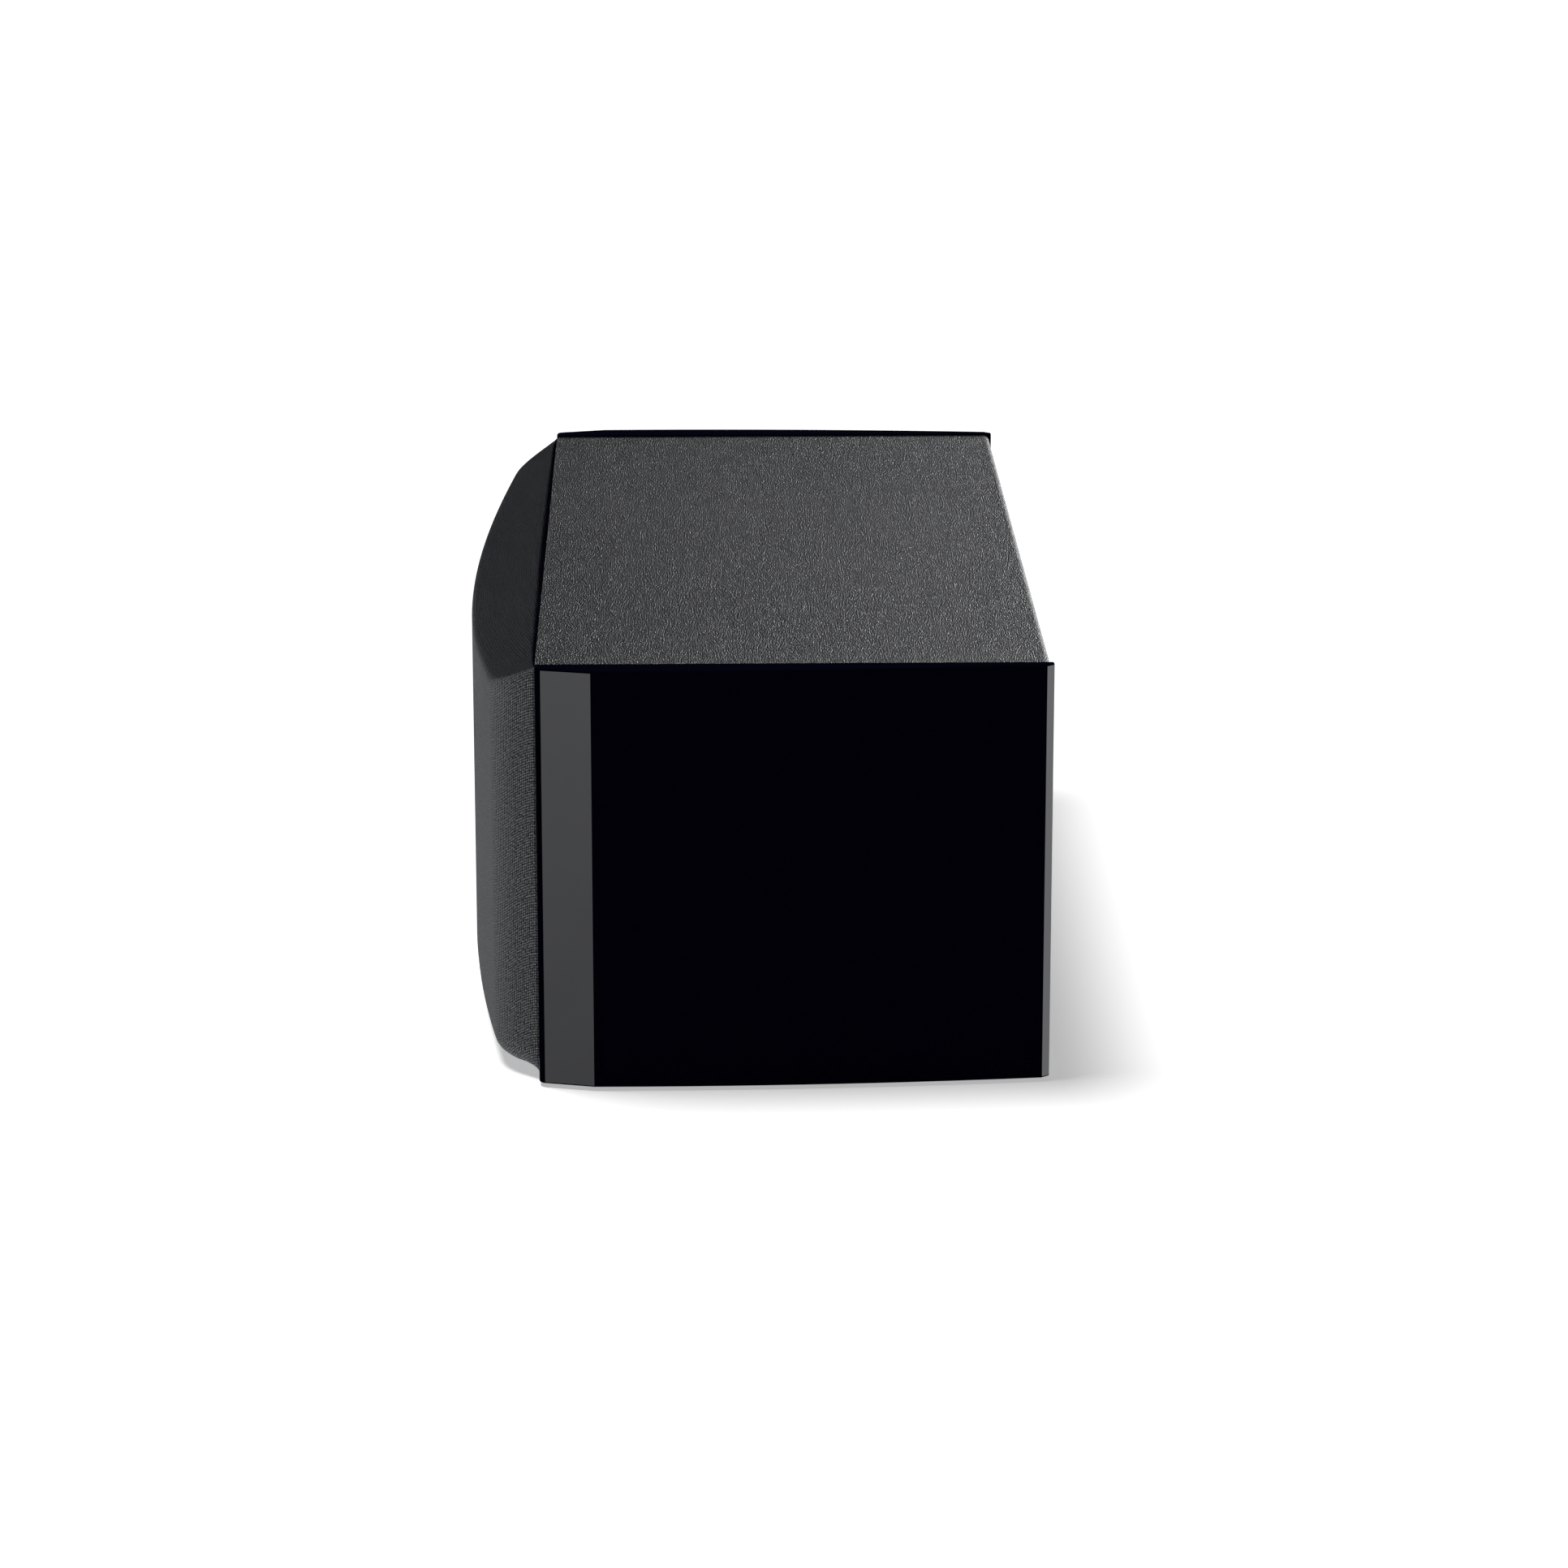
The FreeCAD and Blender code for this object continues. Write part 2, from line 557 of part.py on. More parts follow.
def basket_shape():
    """Cast basket: a flange, six spokes, a magnet ring and a tab for the terminals."""
    flange, inner = mm("woofer_radius"), mm("woofer_hole_radius") - 0.5
    wall, flange_back, rim_back, ring_front = 3.5, 4.0, 12.0, 46.0
    ring_outer, ring_bore = 47.0, 18.5
    face = face_of([
        (inner - wall, 0), (flange, 0), (flange, flange_back), (inner, flange_back), (inner, rim_back),
        (ring_outer, ring_front), (ring_outer, MOTOR_FRONT), (ring_bore, MOTOR_FRONT),
        (ring_bore, ring_front), (ring_outer - 4, ring_front), (inner - wall, rim_back - 1),
    ])
    solid = face.revolve(FreeCAD.Vector(0, 0, 0), FreeCAD.Vector(0, 1, 0), 360)
    spokes, window_angle, first_angle, window_front, window_length = 6, 42.0, 9.0, rim_back + 2.5, 28.0
    for step in range(spokes):
        wedge = Part.makeCylinder(inner + 1, window_length, FreeCAD.Vector(0, window_front, 0),
                                  FreeCAD.Vector(0, 1, 0), window_angle)
        wedge = wedge.cut(rod(ring_outer - 2.5, (0, window_front - 1, 0), (0, ring_front, 0)))
        wedge.rotate(FreeCAD.Vector(0, 0, 0), FreeCAD.Vector(0, 1, 0), 360.0 / spokes * step + first_angle)
        solid = solid.cut(wedge)
    tab_half, tab_low, tab_high = 10.0, -72.0, -44.0
    solid = solid.fuse(block((-tab_half, ring_front, tab_low), (tab_half, TAB_BACK, tab_high)))
    for x, z in around(6, flange - WOOFER_SCREW_INSET, 30.0):
        solid = solid.cut(rod(SCREW_HOLE, (x, -OVERSHOOT, z), (x, flange_back + 1, z)))
    return solid.removeSplitter()


def make_woofer(name, sign):
    """One woofer: basket, motor, and the moving cone with its coil, surround and spider."""
    at = (sign * WOOFER_X, FRONT, MIDDLE)
    coil = mm("coil_radius")
    edge = mm("cone_radius")
    shaped(f"{name}_woofer_basket", basket_shape(), at)
    plate_back, magnet_back, yoke_back = MOTOR_FRONT + 6, MOTOR_FRONT + 21, MOTOR_FRONT + 27
    turned(f"{name}_woofer_top_plate", [
        (18.0, MOTOR_FRONT), (50, MOTOR_FRONT), (50, plate_back), (18.0, plate_back)], at)
    turned(f"{name}_woofer_magnet", [
        (24, plate_back), (54, plate_back), (55, plate_back + 1), (55, magnet_back - 1),
        (54, magnet_back), (24, magnet_back)], at)
    turned(f"{name}_woofer_yoke", [
        (5, MOTOR_FRONT), (15.8, MOTOR_FRONT), (15.8, magnet_back), (50, magnet_back),
        (50, yoke_back - 1), (48, yoke_back), (5, yoke_back)], at)
    turned(f"{name}_woofer_voice_coil", [
        (coil - 0.8, 25), (coil - 0.2, 25), (coil - 0.2, 46), (coil, 46), (coil, 60), (coil - 0.8, 60)], at)
    neck = coil - 0.2
    turned(f"{name}_woofer_cone", [
        (edge - 2.5, -0.6), (edge, -0.6), (edge, 0.4), (edge - 2.2, 0.4),
        (36.5, 14.5, neck + 1.2, 26), (neck + 1.2, 31), (neck, 31), (neck, 21.0),
        (*dome_arc(16.4, neck, 21.0), 0, 16.4), (0, 15.4), (*dome_arc(15.4, 21.5, 22.8), 21.5, 22.8),
        (38.5, 11.5, edge - 2.5, -0.6)], at)
    roll_out, lip = 69.0, edge - 2.1
    centre = (roll_out + edge) / 2 + 0.15
    outer_half, inner_half = 5.5, 4.7
    turned(f"{name}_woofer_surround", [
        (lip, -1.7), (centre - outer_half, -1.7), (centre, -6.65, centre + outer_half, -1.7),
        (roll_out + 3.5, -1.7), (roll_out + 3.5, 0), (centre + inner_half, 0), (centre + inner_half, -0.9),
        (centre, -5.8, centre - inner_half, -0.9), (lip, -0.9)], at)
    ripples, crest, spider_in, spider_out = 4, 1.6, coil + 0.3, 43.0
    width = (spider_out - spider_in) / ripples
    front_side, back_side = [], []
    for step in range(ripples):
        start = spider_in + width * step
        lift = crest if step % 2 else -crest
        front_side.append((start + width / 2, 40 + lift, start + width, 40))
        back_side.insert(0, (start + width / 2, 40.8 + lift, start, 40.8))
    turned(f"{name}_woofer_spider", [(spider_in, 40)] + front_side + [(spider_out, 40.8)] + back_side, at)


def make_woofer_fasteners():
    """Terminal tags and flange screws shared by both woofers."""
    tag_offset, tag_half, tag_thick, tag_length, tag_z = 6.0, 2.4, 0.8, 9.5, -69.0
    tags = []
    for _, sign in SIDES:
        for x in (-tag_offset, tag_offset):
            middle_x = sign * WOOFER_X + x
            tags.append(block((middle_x - tag_half, TAB_BACK, tag_z),
                              (middle_x + tag_half, TAB_BACK + tag_length, tag_z + tag_thick)))
    shaped("woofer_terminals", Part.makeCompound(tags), (0, FRONT, MIDDLE))
    spots = [(x, 0, z) for x, z in woofer_screw_spots()]
    driven = screws(spots, shank=2.0, head=3.4, length=16.0, head_height=1.8)
    shaped("woofer_screws", Part.makeCompound(driven), (0, FRONT, MIDDLE))


def make_tweeter():
    """A soft-dome tweeter with a shallow waveguide faceplate."""
    at = (0, FRONT, MIDDLE)
    rim, dome = mm("tweeter_radius"), mm("dome_radius")
    plate = face_of([
        (17.3, 2.6), (22.0, 0.9, 30, 0), (rim, 0), (rim, 3), (36.5, 3), (36.5, 6), (19.5, 6),
        (19.5, 4.4), (17.3, 4.4)]).revolve(FreeCAD.Vector(0, 0, 0), FreeCAD.Vector(0, 1, 0), 360)
    for x, z in tweeter_screw_spots():
        plate = plate.cut(rod(SCREW_HOLE, (x, -OVERSHOOT, z), (x, 5, z)))
    shaped("tweeter_faceplate", plate, at)
    turned("tweeter_dome", [
        (0, -0.6), (*dome_arc(-0.6, dome, 4.0), dome, 4.0), (dome, 4.6), (dome - 0.4, 4.6),
        (*dome_arc(0, dome - 0.4, 4.6), 0, 0)], at)
    turned("tweeter_surround", [
        (dome + 0.3, 4.2), (dome + 2.3, 2.9, dome + 4.3, 4.4), (19.3, 4.5), (19.3, 5.9), (16.6, 5.9),
        (16.6, 5.0), (dome + 2.3, 3.7, dome + 0.3, 4.9)], at)
    turned("tweeter_voice_coil", [(dome - 0.5, 4.6), (dome, 4.6), (dome, 10.5), (dome - 0.5, 10.5)], at)
    turned("tweeter_top_plate", [(dome + 0.6, 6), (34, 6), (34, 10), (dome + 0.6, 10)], at)
    turned("tweeter_magnet", [(20, 10), (35, 10), (35, 20), (20, 20)], at)
    turned("tweeter_yoke", [
        (0, 6.4), (dome - 1.1, 6.4), (dome - 1.1, 20), (34, 20), (34, 24), (33, 25), (0, 25)], at)
    spots = [(x, 0, z) for x, z in tweeter_screw_spots()]
    driven = screws(spots, shank=2.0, head=3.2, length=14.0, head_height=1.6)
    shaped("tweeter_screws", Part.makeCompound(driven), at)


# ---------------------------------------------------------------- crossover and its leads

BOARD_HALF_X, BOARD_START_Y, BOARD_END_Y = 60.0, 5.0, 95.0
BOARD_Z = LOW + BOARD + 8.0
BOARD_TOP = BOARD_Z + 1.6


def board_screw_spots():
    """The four corners of the crossover board."""
    inset = 6.0
    return [(x, y) for x in (inset - BOARD_HALF_X, BOARD_HALF_X - inset)
            for y in (BOARD_START_Y + inset, BOARD_END_Y - inset)]


def make_crossover():
    """The crossover board on stand-offs, with its coils, capacitors and resistors."""
    plate = block((-BOARD_HALF_X, BOARD_START_Y, BOARD_Z), (BOARD_HALF_X, BOARD_END_Y, BOARD_TOP))
    fixings = []
    for x, y in board_screw_spots():
        plate = plate.cut(rod(1.7, (x, y, BOARD_Z - OVERSHOOT), (x, y, BOARD_TOP + OVERSHOOT)))
        spacer = rod(3.5, (x, y, LOW + BOARD), (x, y, BOARD_Z))
        stem = rod(1.5, (x, y, BOARD_Z - 1), (x, y, BOARD_TOP + 1))
        head = rod(3.0, (x, y, BOARD_TOP), (x, y, BOARD_TOP + 2))
        fixings.append(spacer.fuse(stem).fuse(head).removeSplitter())
    shaped("crossover_board", plate)
    shaped("crossover_screws", Part.makeCompound(fixings))

    coils = []
    for x in (-36.0, 36.0):
        y = BOARD_START_Y + 58.0
        coil = rod(19.0, (x, y, BOARD_TOP), (x, y, BOARD_TOP + 18))
        coil = coil.makeFillet(2.5, [edge for edge in coil.Edges if edge.BoundBox.ZMin > BOARD_TOP + 1])
        coils.append(coil.cut(rod(9.0, (x, y, BOARD_TOP - OVERSHOOT), (x, y, BOARD_TOP + 19))))
    shaped("crossover_inductors", Part.makeCompound(coils))

    cans = []
    for x in (-24.0, 0.0, 24.0):
        centre_z = BOARD_TOP + 8.0
        can = rod(8.0, (x, BOARD_START_Y + 18, centre_z), (x, BOARD_START_Y + 34, centre_z))
        cans.append(can.makeFillet(1.5, [edge for edge in can.Edges if edge.BoundBox.YLength < 0.1]))
    shaped("crossover_capacitors", Part.makeCompound(cans))

    resistors = []
    for y in (BOARD_START_Y + 44, BOARD_START_Y + 57):
        brick = block((-12, y, BOARD_TOP), (12, y + 9, BOARD_TOP + 9))
        resistors.append(brick.makeFillet(1.0, brick.Edges))
    shaped("crossover_resistors", Part.makeCompound(resistors))


def lead(points):
    """A round lead along straight runs joined by bends."""
    points = [FreeCAD.Vector(*point) for point in points]
    bend = mm("lead_bend")
    pieces, here = [], points[0]
    for before, corner, after in zip(points, points[1:], points[2:]):
        inward, outward = (corner - before).normalize(), (after - corner).normalize()
        start, end = corner - inward * bend, corner + outward * bend
        middle = corner + (outward - inward).normalize() * bend * (math.sqrt(2) - 1)
        if (start - here).Length > 0.001:
            pieces.append(Part.LineSegment(here, start).toShape())
        pieces.append(Part.Arc(start, middle, end).toShape())
        here = end
    pieces.append(Part.LineSegment(here, points[-1]).toShape())
    path = Part.Wire(pieces)
    heading = (points[1] - points[0]).normalize()
    ring = Part.Wire([Part.makeCircle(mm("lead_radius"), points[0], heading)])
    return path.makePipeShell([ring], True, False)


def make_leads():
    """The internal leads: terminals to crossover, crossover to each woofer and to the tweeter."""
    half_pitch = mm("post_pitch") / 2
    inner_end = BACK - mm("cup_depth") - 15.0
    run_y = BOARD_END_Y - 14.0
    shaped("input_leads", Part.makeCompound([
        lead([(x, inner_end, MIDDLE), (x, run_y, MIDDLE), (x, run_y, BOARD_TOP)])
        for x in (-half_pitch, half_pitch)]))

    tag_y, tag_z = FRONT + 58.0, MIDDLE - 68.6
    tag_half, brace_middle_y = 6.0, (FRONT + mm("baffle_board") + BACK - BOARD) / 2
    for name, sign in SIDES:
        made = []
        for side in (-tag_half, tag_half):
            x = sign * WOOFER_X + side
            y = brace_middle_y + side * sign / 2
            made.append(lead([(sign * 48.0, y, BOARD_TOP), (sign * 48.0, y, tag_z), (x, y, tag_z),
                              (x, tag_y, tag_z)]))
        shaped(f"{name}_woofer_leads", Part.makeCompound(made))

    yoke_back, rise_y = FRONT + 25.0, BOARD_START_Y + 8.0
    shaped("tweeter_leads", Part.makeCompound([
        lead([(x, rise_y, BOARD_TOP), (x, rise_y, MIDDLE - 16), (x, yoke_back, MIDDLE - 16)])
        for x in (-6.0, 6.0)]))


# ---------------------------------------------------------------- port and terminals

def make_port():
    """A flared port tube with a trim flange on the back of the cabinet."""
    bore, wall, flare = mm("port_radius"), PORT_WALL, 10.0
    length = mm("port_length")
    turned("port_tube", [
        (bore + PORT_RIM, 1.0), (bore + PORT_RIM, -RIM_REBATE), (bore + wall, -RIM_REBATE),
        (bore + wall, -length + 12),
        (bore + wall + 1.6, -length + 5, bore + wall + 5, -length), (bore + 5, -length),
        (bore + 1.2, -length + 6, bore, -length + 14), (bore, -flare),
        (bore + 2.6, -2.2, bore + flare, 1.0)], (-mm("port_offset"), BACK, MIDDLE))


def cup_screw_spots():
    """Screw positions of the terminal cup, as (x, z) from its middle."""
    reach_x, reach_z = mm("cup_width") / 2 + 8.0, mm("cup_height") / 2 + 8.0
    return [(x, z) for x in (-reach_x, reach_x) for z in (-reach_z, reach_z)]


def make_terminal_cup():
    """The moulded cup that sinks the terminals into the back of the cabinet."""
    wide, tall, deep = (mm(f"cup_{side}") for side in ("width", "height", "depth"))
    wall, flange = CUP_WALL, CUP_RIM
    plate = block((-wide / 2 - flange, -RIM_REBATE, -tall / 2 - flange),
                  (wide / 2 + flange, 0, tall / 2 + flange))
    tub = block((-wide / 2 - wall, -deep - wall, -tall / 2 - wall), (wide / 2 + wall, 0, tall / 2 + wall))
    tub = tub.makeFillet(6.0, [edge for edge in tub.Edges if edge.BoundBox.YLength > 1])
    hollow = block((-wide / 2, -deep, -tall / 2), (wide / 2, OVERSHOOT, tall / 2))
    hollow = hollow.makeFillet(5.0, [edge for edge in hollow.Edges
                                     if edge.BoundBox.YLength > 1 or edge.CenterOfMass.y < -deep + 0.1])
    cup = plate.fuse(tub).cut(hollow)
    for x, z in cup_screw_spots():
        cup = cup.cut(rod(1.9, (x, -RIM_REBATE - OVERSHOOT, z), (x, OVERSHOOT, z)))
    for sign in (-1, 1):
        x = sign * mm("post_pitch") / 2
        cup = cup.cut(rod(3.1, (x, -deep - wall - OVERSHOOT, 0), (x, -deep + OVERSHOOT, 0)))
    shaped("terminal_cup", cup.removeSplitter(), (0, BACK, MIDDLE))
    spots = [(x, 0, z) for x, z in cup_screw_spots()]
    driven = screws(spots, shank=1.5, head=3.0, length=12.0, head_height=1.3, way=-1)
    shaped("terminal_cup_screws", Part.makeCompound(driven), (0, BACK, MIDDLE))


def make_terminals():
    """Two brass posts with their inner nuts, and on each a clamp washer and a ribbed screw cap."""
    floor = -mm("cup_depth")
    stem = mm("post_radius")
    collar, reach = 3.0, 22.0
    posts, nuts = [], []
    for name, sign in (("negative", -1), ("positive", 1)):
        x = sign * mm("post_pitch") / 2
        post = rod(7.5, (x, floor, 0), (x, floor + collar, 0))
        post = post.fuse(rod(stem, (x, floor + collar, 0), (x, floor + reach, 0)))
        post = post.fuse(rod(3.0, (x, floor - 15, 0), (x, floor, 0)))
        post = post.cut(rod(mm("plug_hole_radius"), (x, floor + reach - mm("plug_hole_length"), 0),
                            (x, floor + reach + OVERSHOOT, 0)))
        posts.append(post.removeSplitter())
        hexagon = Part.Face(Part.makePolygon([
            FreeCAD.Vector(x + spot_x, floor - 3.0, spot_z) for spot_x, spot_z in around(6, 5.5)
        ] + [FreeCAD.Vector(x + 5.5, floor - 3.0, 0)]))
        nut = hexagon.extrude(FreeCAD.Vector(0, -4.0, 0))
        nuts.append(nut.cut(rod(3.0, (x, floor - 8, 0), (x, floor, 0))))

        at = (x, BACK + floor + collar, MIDDLE)
        turned(f"{name}_clamp_washer", [(stem + 0.3, 0.2), (6.5, 0.2), (6.5, 1.2), (stem + 0.3, 1.2)], at)
        cap = rod(8.0, (0, 1.5, 0), (0, 17.5, 0))
        cap = cap.makeFillet(1.5, [edge for edge in cap.Edges if edge.BoundBox.YMin > 17])
        for spot_x, spot_z in around(18, 8.3):
            cap = cap.cut(rod(0.75, (spot_x, 3.5, spot_z), (spot_x, 18, spot_z)))
        cap = cap.cut(rod(stem + 0.06, (0, 0, 0), (0, 18, 0)))
        shaped(f"{name}_post_cap", cap, at)
    shaped("terminal_posts", Part.makeCompound(posts), (0, BACK, MIDDLE))
    shaped("post_nuts", Part.makeCompound(nuts), (0, BACK, MIDDLE))


# ---------------------------------------------------------------- the whole speaker

make_boards()
make_side_panels()
make_feet()
make_baffle()
make_rear_panel()
make_braces()
make_damping_mats()
make_grille()
for side_name, side_sign in SIDES:
    make_woofer(side_name, side_sign)
make_woofer_fasteners()
make_tweeter()
make_crossover()
make_leads()
make_port()
make_terminal_cup()
make_terminals()
doc.recompute()

for piece in doc.Objects:
    assert not {"Invalid", "Error"} & set(piece.State), f"{piece.Label}: {piece.State}"
for piece in PARTS:
    assert not piece.Shape.isNull() and piece.Shape.isValid(), f"{piece.Label} has no valid shape"
    piece.Shape.exportStep(f"parts/{piece.Label}.step")
print(len(PARTS), "pieces written")
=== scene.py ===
import json
import math

import bpy
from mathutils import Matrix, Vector, noise


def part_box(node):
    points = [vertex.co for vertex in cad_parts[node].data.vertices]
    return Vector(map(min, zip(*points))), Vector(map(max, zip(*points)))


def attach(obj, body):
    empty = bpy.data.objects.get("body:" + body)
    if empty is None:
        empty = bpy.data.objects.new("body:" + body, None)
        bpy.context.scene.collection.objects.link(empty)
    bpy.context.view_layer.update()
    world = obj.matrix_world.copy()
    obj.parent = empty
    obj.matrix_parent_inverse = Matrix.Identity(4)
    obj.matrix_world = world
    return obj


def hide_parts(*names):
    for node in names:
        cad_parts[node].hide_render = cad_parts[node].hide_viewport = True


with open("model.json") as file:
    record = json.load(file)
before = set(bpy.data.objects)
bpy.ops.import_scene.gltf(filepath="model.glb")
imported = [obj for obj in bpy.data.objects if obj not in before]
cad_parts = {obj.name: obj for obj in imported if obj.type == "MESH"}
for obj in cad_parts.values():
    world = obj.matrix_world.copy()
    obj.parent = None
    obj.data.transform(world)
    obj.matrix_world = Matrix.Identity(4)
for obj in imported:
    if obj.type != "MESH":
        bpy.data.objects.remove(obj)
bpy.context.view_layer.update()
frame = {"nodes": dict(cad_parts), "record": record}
NODES = frame["nodes"]
MM = 0.001

# ------------------------------------------------------------------ camera

CAMERA_PLACE = (2.8204, -0.0373, 0.8761)
CAMERA_TURN = (math.radians(74.22), 0.0, math.radians(88.83))
CAMERA_LENS = 121.86


def make_camera():
    """A long lens to the right of the speaker and a little above it."""
    data = bpy.data.cameras.new("camera")
    data.sensor_width = 36.0
    data.lens = CAMERA_LENS
    camera = bpy.data.objects.new("camera", data)
    camera.location = CAMERA_PLACE
    camera.rotation_euler = CAMERA_TURN
    bpy.context.scene.collection.objects.link(camera)
    bpy.context.scene.camera = camera


# ------------------------------------------------------------------ materials

class Shader:
    """A material under construction: short calls that add nodes and join them."""

    def __init__(self, name, base=(0.5, 0.5, 0.5), roughness=0.5, **uniform):
        self.material = bpy.data.materials.new(name)
        self.material.use_nodes = True
        self.tree = self.material.node_tree
        self.surface = self.tree.nodes["Principled BSDF"]
        self.set(self.surface, "Base Color", (*base, 1.0))
        self.set(self.surface, "Roughness", roughness)
        for socket, number in uniform.items():
            self.set(self.surface, socket.replace("_", " "), number)

    def set(self, node, socket, thing):
        """Give a socket a number, a colour, or the output of another node."""
        target = node.inputs[socket]
        if isinstance(thing, bpy.types.NodeSocket):
            self.tree.links.new(thing, target)
        else:
            target.default_value = thing

    def add(self, kind, out=0, props=None, **inputs):
        """A new node; returns one of its outputs. Inputs go by name, or as i0, i1, i2 by number."""
        node = self.tree.nodes.new(kind)
        for key, setting in (props or {}).items():
            setattr(node, key, setting)
        for socket, thing in inputs.items():
            numbered = socket[0] == "i" and socket[1:].isdigit()
            self.set(node, int(socket[1:]) if numbered else socket.replace("_", " "), thing)
        return node.outputs[out]

    def place(self, stretch=(1, 1, 1)):
        """Object coordinates, stretched along each axis."""
        coordinates = self.add("ShaderNodeTexCoord", "Object")
        return self.add("ShaderNodeMapping", Vector=coordinates, Scale=stretch)

    def flat_place(self):
        """UV coordinates, which are metres along a piece made for them."""
        return self.add("ShaderNodeTexCoord", "UV")

    def noise(self, scale, detail=3.0, at=None, roughness=0.5):
        """Cloudy noise from 0 to 1; scale is in features per metre."""
        return self.add("ShaderNodeTexNoise", "Fac", Vector=at or self.place(), Scale=scale,
                        Detail=detail, Roughness=roughness)

    def cells(self, scale, feature, at=None):
        """Distance within a pattern of cells; scale is in cells per metre."""
        return self.add("ShaderNodeTexVoronoi", "Distance", props={"feature": feature},
                        Vector=at or self.place(), Scale=scale)

    def maths(self, operation, first, second=0.0, third=0.0):
        """Arithmetic on values."""
        return self.add("ShaderNodeMath", props={"operation": operation}, i0=first, i1=second, i2=third)

    def between(self, value, low, high, to_low, to_high):
        """Map a value from one range to another, held at the ends."""
        return self.add("ShaderNodeMapRange", Value=value, From_Min=low, From_Max=high, To_Min=to_low,
                        To_Max=to_high)

    def mix(self, factor, first, second):
        """Blend two colours."""
        node = self.tree.nodes.new("ShaderNodeMix")
        node.data_type = "RGBA"
        for index, thing in ((0, factor), (6, first), (7, second)):
            self.set(node, index, (*thing, 1.0) if isinstance(thing, tuple) and len(thing) == 3 else thing)
        return node.outputs[2]

    def bump(self, height, depth, strength=1.0, after=None):
        """Surface relief; depth is in metres."""
        inputs = {"Height": height, "Distance": depth, "Strength": strength}
        if after is not None:
            inputs["Normal"] = after
        return self.add("ShaderNodeBump", **inputs)

    def edge_sheen_mask(self, radius):
        """1 near sharp edges and 0 elsewhere: the mask for painted edge highlights."""
        bevel = self.add("ShaderNodeBevel", props={"samples": 4}, Radius=radius)
        flat = self.add("ShaderNodeNewGeometry", "Normal")
        likeness = self.add("ShaderNodeVectorMath", "Value", props={"operation": "DOT_PRODUCT"},
                            i0=bevel, i1=flat)
        return self.between(likeness, 0.9, 1.0, 1.0, 0.0)


def vinyl_wrap():
    """Charcoal vinyl with a fine pebbled leather grain."""
    made = Shader("vinyl_wrap", roughness=0.5, Specular_IOR_Level=0.42)
    pebbles_per_metre, creases_per_metre = 1150.0, 850.0
    pebble_depth, valley_depth = 0.55 * MM, 0.30 * MM
    along = made.place((0.6, 1, 1))
    pebbles = made.cells(pebbles_per_metre, "SMOOTH_F1", along)
    creases = made.cells(creases_per_metre, "DISTANCE_TO_EDGE", along)
    valley = made.between(creases, 0.0, 0.30, 0.0, 1.0)
    cloudy = made.noise(9.0, 4.0)
    ground = made.mix(cloudy, (0.064, 0.066, 0.071), (0.094, 0.096, 0.101))
    # Painted shade: the grain's crease valleys are painted near black; the same mask also presses them in
    # as bumps.
    made.set(made.surface, "Base Color", made.mix(valley, (0.012, 0.013, 0.014), ground))
    made.set(made.surface, "Roughness", made.between(made.noise(700.0, 2.0), 0.3, 0.7, 0.46, 0.64))
    first = made.bump(pebbles, pebble_depth)
    made.set(made.surface, "Normal", made.bump(valley, valley_depth, 1.0, first))
    return made.material


def black_lacquer():
    """Deep gloss black lacquer with a trace of orange peel and faint polishing haze."""
    made = Shader("black_lacquer", base=(0.0004, 0.0003, 0.0028), roughness=0.05)
    haze = made.noise(28.0, 5.0)
    made.set(made.surface, "Roughness", made.between(haze, 0.3, 0.75, 0.035, 0.085))
    made.set(made.surface, "Normal", made.bump(made.noise(160.0, 1.0), 0.000012, 0.35))
    return made.material


def grille_cloth():
    """Black woven speaker cloth: warp and weft threads that pass over and under each other."""
    made = Shader("grille_cloth", roughness=0.9, Sheen_Weight=0.62, Sheen_Roughness=0.26,
                  Sheen_Tint=(0.80, 0.84, 0.86, 1.0), Specular_IOR_Level=0.2)
    thread_pitch, wander, thread_depth = 1.4 * MM, 0.6 * MM, 0.45 * MM
    at = made.flat_place()
    wobble = made.add("ShaderNodeVectorMath", "Vector", props={"operation": "MULTIPLY_ADD"},
                      i0=made.add("ShaderNodeTexNoise", "Color", Vector=at, Scale=90.0, Detail=2.0),
                      i1=(wander, wander, 0.0), i2=at)
    split = made.tree.nodes.new("ShaderNodeSeparateXYZ")
    made.set(split, "Vector", wobble)
    along, across = (made.maths("MULTIPLY", split.outputs[axis], 1.0 / thread_pitch) for axis in (0, 1))

    def hump(value):
        """0 in the gap between two threads and 1 on the crown of one."""
        return made.maths("ABSOLUTE", made.maths("SINE", made.maths("MULTIPLY", value, math.pi)))

    crossings = made.maths("ADD", made.maths("FLOOR", along), made.maths("FLOOR", across))
    parity = made.maths("PINGPONG", crossings, 1.0)
    beneath = 0.35
    warp = made.maths("MULTIPLY", hump(along), made.maths("MULTIPLY_ADD", hump(across), parity, beneath))
    odd = made.maths("SUBTRACT", 1.0, parity)
    weft = made.maths("MULTIPLY", hump(across), made.maths("MULTIPLY_ADD", hump(along), odd, beneath))
    height = made.maths("MAXIMUM", warp, weft)
    # Painted shade: the gaps between threads are painted near black and the crowns lighter.
    tone = made.mix(made.between(height, 0.1, 1.0, 0.0, 1.0), (0.003, 0.004, 0.005), (0.270, 0.285, 0.300))
    fleck = made.between(made.noise(900.0, 1.0, at=at), 0.38, 0.62, 0.15, 1.0)
    made.set(made.surface, "Base Color", made.mix(fleck, (0.003, 0.003, 0.003), tone))
    fibres = made.bump(made.noise(4200.0, 2.0, at=at), 0.00008, 0.5)
    made.set(made.surface, "Normal", made.bump(height, thread_depth, 1.0, fibres))
    return made.material


